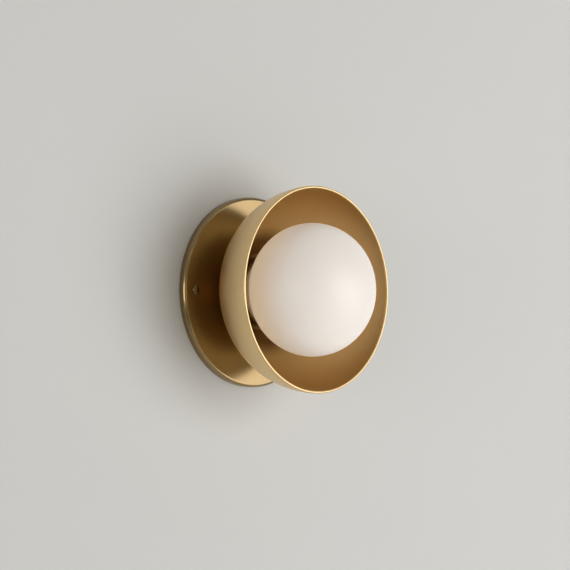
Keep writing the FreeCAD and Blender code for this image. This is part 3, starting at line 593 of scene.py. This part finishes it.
FROST = moulded("frosted_cover", (0.90, 0.90, 0.88), (0.87, 0.87, 0.84), 0.4, 0.5, 1200.0, 0.5)
CORE = light_core()


def paint(piece, material):
    piece.data.materials.clear()
    piece.data.materials.append(material)
    return piece


def add_turned(name, outline, material, body, slot, *replaced):
    piece = paint(turned(name, outline), material)
    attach(piece, body)
    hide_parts(*replaced)
    return piece


# Turned pieces in place of the coarser solids

add_turned("spun_bowl", shade_outline(), SPUN_BRASS, "fixture", "satin_brass", "shade")
add_turned("turned_neck", neck_outline(), PAINTED_SHADE_BRASS, "fixture", "satin_brass", "neck_spacer")
add_turned("drawn_cup", cup_outline(), PAINTED_SHADE_CUP_BRASS, "fixture", "satin_brass", "globe_cup")
add_turned("blown_globe", globe_outline(), OPAL, "globe", "opal_glass", "opal_globe")
add_turned("frosted_tube", envelope_outline(), FROST, "bulb", "frosted_cover", "bulb_envelope")


def plate():
    """The pan with its two screw holes cut through the face."""
    piece = turned("brass_pan", plate_outline())
    _, face = reach_of("back_plate")
    for side in (-1, 1):
        bpy.ops.mesh.primitive_cylinder_add(
            vertices=DRILL_TURNS,
            radius=PLATE_HOLE_RADIUS,
            depth=face,
            location=(SCREW_OFFSET * side, -face, 0),
            rotation=(math.pi / 2, 0, 0),
        )
        drill = bpy.context.object
        cutter = piece.modifiers.new("hole", "BOOLEAN")
        cutter.operation = "DIFFERENCE"
        cutter.solver = "EXACT"
        cutter.object = drill
        bpy.context.view_layer.objects.active = piece
        bpy.ops.object.modifier_apply(modifier=cutter.name)
        bpy.data.objects.remove(drill)
    paint(piece, PAINTED_SHADE_BRASS)
    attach(piece, "fixture")
    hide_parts("back_plate")


plate()


def plate_screw(name, side):
    """A screw with a plain domed head, and its shank down to the strap."""
    _, seat = reach_of("back_plate")
    _, top = reach_of("plate_screws")
    rise = top - seat - SCREW_HEAD_EDGE
    dome = (rise ** 2 + SCREW_HEAD_RADIUS ** 2) / (rise * 2)
    edge = (SCREW_HEAD_RADIUS, seat + SCREW_HEAD_EDGE)
    outline = [
        (0, 0),
        (SCREW_RADIUS, 0),
        (SCREW_RADIUS, seat),
        (SCREW_HEAD_RADIUS, seat),
        edge,
        *arc((0, top - dome), edge, (0, top), BLEND_STEPS),
    ]
    piece = turned(name, outline, SCREW_TURNS)
    piece.data.transform(Matrix.Translation((SCREW_OFFSET * side, 0, 0)))
    paint(piece, PAINTED_SHADE_SCREW_BRASS)
    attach(piece, "fixture")
    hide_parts("plate_screws")


plate_screw("left_screw", -1)
plate_screw("right_screw", 1)


# Finishes of the solids that stay as they are

for names, material in (
    (("mounting_strap", "threaded_nipple", "rear_lock_nut", "rear_lock_washer"), ZINC),
    (("top_nut", "lampholder_bracket", "lampholder_screws"), ZINC),
    (("ground_screw",), GREEN_ZINC),
    (("wire_bushing",), NYLON),
    (("globe_gasket",), SILICONE),
    (("lampholder_body",), CERAMIC),
    (("lampholder_contacts", "bulb_pins"), NICKEL),
    (("bulb_base",), BULB_BASE),
    (("bulb_core",), CORE),
):
    for name in names:
        paint(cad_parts[name], material)


# Wall and floor, which aren't part of the object

WALL_COLOUR = (0.79, 0.788, 0.772)
FLOOR_COLOUR = (0.72, 0.715, 0.70)
STAGE_SIZE = 8.0
FLOOR_DROP = 1.4
WALL_GAP = 0.1 * MM
WALL_BOX_RADIUS = 58.0 * MM
PAINT_MOTTLE_SHARE = 0.98
PAINT_ROUGHNESS = 0.9
PAINT_SHINE = 0.2


def plain_material(name, colour):
    """Matt paint with a hardly visible mottle."""
    material, tree, shader = new_material(name)
    mottle = noise(tree, object_place(tree), scale=3.0, detail=4.0)
    darker = tuple(part * PAINT_MOTTLE_SHARE for part in colour)
    tint(tree, shader, spread(tree, mottle, 0, 1), colour, darker)
    shader.inputs["Roughness"].default_value = PAINT_ROUGHNESS
    shader.inputs["Specular IOR Level"].default_value = PAINT_SHINE
    return material, tree, shader


def wall_mesh():
    """A wide sheet that faces the room, with a round hole for the wall box behind the plate."""
    graph = bmesh.new()
    hole = circle(graph, WALL_BOX_RADIUS, -WALL_GAP)
    edge = circle(graph, STAGE_SIZE / 2, -WALL_GAP)
    for turn in range(TURNS):
        after = (turn + 1) % TURNS
        graph.faces.new((hole[turn], hole[after], edge[after], edge[turn]))
    for face in graph.faces:
        face.normal_update()
        if face.normal.y > 0:
            face.normal_flip()
    mesh = bpy.data.meshes.new("wall")
    graph.to_mesh(mesh)
    graph.free()
    return mesh


def stage_piece(name, mesh, material):
    piece = bpy.data.objects.new(name, mesh)
    bpy.context.scene.collection.objects.link(piece)
    paint(piece, material)


def floor_mesh():
    half = STAGE_SIZE / 2
    mesh = bpy.data.meshes.new("floor")
    corners = [(-half, -half), (half, -half), (half, half), (-half, half)]
    mesh.from_pydata([(x, y, -FLOOR_DROP) for x, y in corners], [], [(0, 1, 2, 3)])
    return mesh


def wall():
    """A wall that is only there from the front, so that the lamp's back can be seen."""
    material, tree, shader = plain_material("wall_paint", WALL_COLOUR)
    clear = node(tree, "ShaderNodeBsdfTransparent")
    side = node(tree, "ShaderNodeNewGeometry")
    choice = node(tree, "ShaderNodeMixShader")
    output = tree.nodes["Material Output"]
    tree.links.new(side.outputs["Backfacing"], choice.inputs[0])
    tree.links.new(shader.outputs[0], choice.inputs[1])
    tree.links.new(clear.outputs[0], choice.inputs[2])
    tree.links.new(choice.outputs[0], output.inputs[0])
    stage_piece("wall", wall_mesh(), material)


wall()
stage_piece("floor", floor_mesh(), plain_material("floor_paint", FLOOR_COLOUR)[0])


# Light

LIGHT_DISTANCE = 2.6
LIGHT_COLOUR = (1.0, 0.99, 0.965)
ROOM_COLOUR = (1.0, 1.0, 0.99)
ROOM_BRIGHTNESS = 0.125
GROUND_COLOUR = (0.3, 0.297, 0.285)


def soft_light(name, azimuth, elevation, width, height, brightness):
    """A wide lamp that faces the part, as bright as a white sheet at a brightness of 1."""
    data = bpy.data.lights.new(name, "AREA")
    data.shape = "RECTANGLE"
    data.size = width
    data.size_y = height
    data.energy = brightness * math.pi * width * height
    data.color = LIGHT_COLOUR
    lamp = bpy.data.objects.new(name, data)
    bpy.context.scene.collection.objects.link(lamp)
    around = math.radians(azimuth)
    above = math.radians(elevation)
    level = math.cos(above)
    out = Vector((math.sin(around) * level, -math.cos(around) * level, math.sin(above)))
    lamp.location = out * LIGHT_DISTANCE
    lamp.rotation_euler = out.to_track_quat("Z", "Y").to_euler()
    lamp.visible_camera = False


# Azimuth and elevation in degrees, width and height in metres, brightness

for lamp in (
    ("key", 18, 0, 1.9, 2.1, 2.8),
    ("left_fill", -60, 0, 1.0, 0.9, 1.6),
    ("left_side", -80, 0, 1.2, 0.9, 2.3),
    ("right_fill", 45, -10, 1.0, 2.1, 1.65),
    ("overhead", 0, 65, 3.0, 1.0, 0.15),
):
    soft_light(*lamp)


def room_light():
    """Even light from all round. What is seen past the stage, or mirrored, is a plain ground."""
    world = bpy.data.worlds.new("room")
    world.use_nodes = True
    tree = world.node_tree
    around = tree.nodes["Background"]
    around.inputs["Color"].default_value = (*ROOM_COLOUR, 1)
    around.inputs["Strength"].default_value = ROOM_BRIGHTNESS
    seen = node(tree, "ShaderNodeBackground")
    seen.inputs["Color"].default_value = (*GROUND_COLOUR, 1)
    path = node(tree, "ShaderNodeLightPath").outputs
    mirrored = math_node(tree, "MAXIMUM", path["Is Glossy Ray"], path["Is Transmission Ray"])
    shown = math_node(tree, "MAXIMUM", path["Is Camera Ray"], mirrored)
    choice = node(tree, "ShaderNodeMixShader")
    tree.links.new(shown, choice.inputs[0])
    tree.links.new(around.outputs[0], choice.inputs[1])
    tree.links.new(seen.outputs[0], choice.inputs[2])
    tree.links.new(choice.outputs[0], tree.nodes["World Output"].inputs[0])
    bpy.context.scene.world = world


room_light()


# Camera, from the photograph's outlines

CAMERA_AZIMUTH = math.radians(-45.1)
CAMERA_ELEVATION = math.radians(-2.56)
CAMERA_DISTANCE = 1.2374
CAMERA_SHIFT_RIGHT = 0.02229
CAMERA_SHIFT_UP = 0.00466
FOCAL_PIXELS = 1953.6
PHOTO_PIXELS = 570
SENSOR_WIDTH = 36.0
NEAR_LIMIT = 0.01

back = Vector((
    math.sin(CAMERA_AZIMUTH) * math.cos(CAMERA_ELEVATION),
    -math.cos(CAMERA_AZIMUTH) * math.cos(CAMERA_ELEVATION),
    math.sin(CAMERA_ELEVATION),
))
right = Vector((math.cos(CAMERA_AZIMUTH), math.sin(CAMERA_AZIMUTH), 0))
above = back.cross(right)
camera_data = bpy.data.cameras.new("camera")
camera_data.sensor_width = SENSOR_WIDTH
camera_data.lens = FOCAL_PIXELS * SENSOR_WIDTH / PHOTO_PIXELS
camera_data.clip_start = NEAR_LIMIT
camera = bpy.data.objects.new("camera", camera_data)
bpy.context.scene.collection.objects.link(camera)
turn = Matrix((right, above, back)).transposed().to_4x4()
place = back * CAMERA_DISTANCE + right * CAMERA_SHIFT_RIGHT + above * CAMERA_SHIFT_UP
camera.matrix_world = Matrix.Translation(place) @ turn
bpy.context.scene.camera = camera
bpy.context.scene.view_settings.view_transform = "Standard"
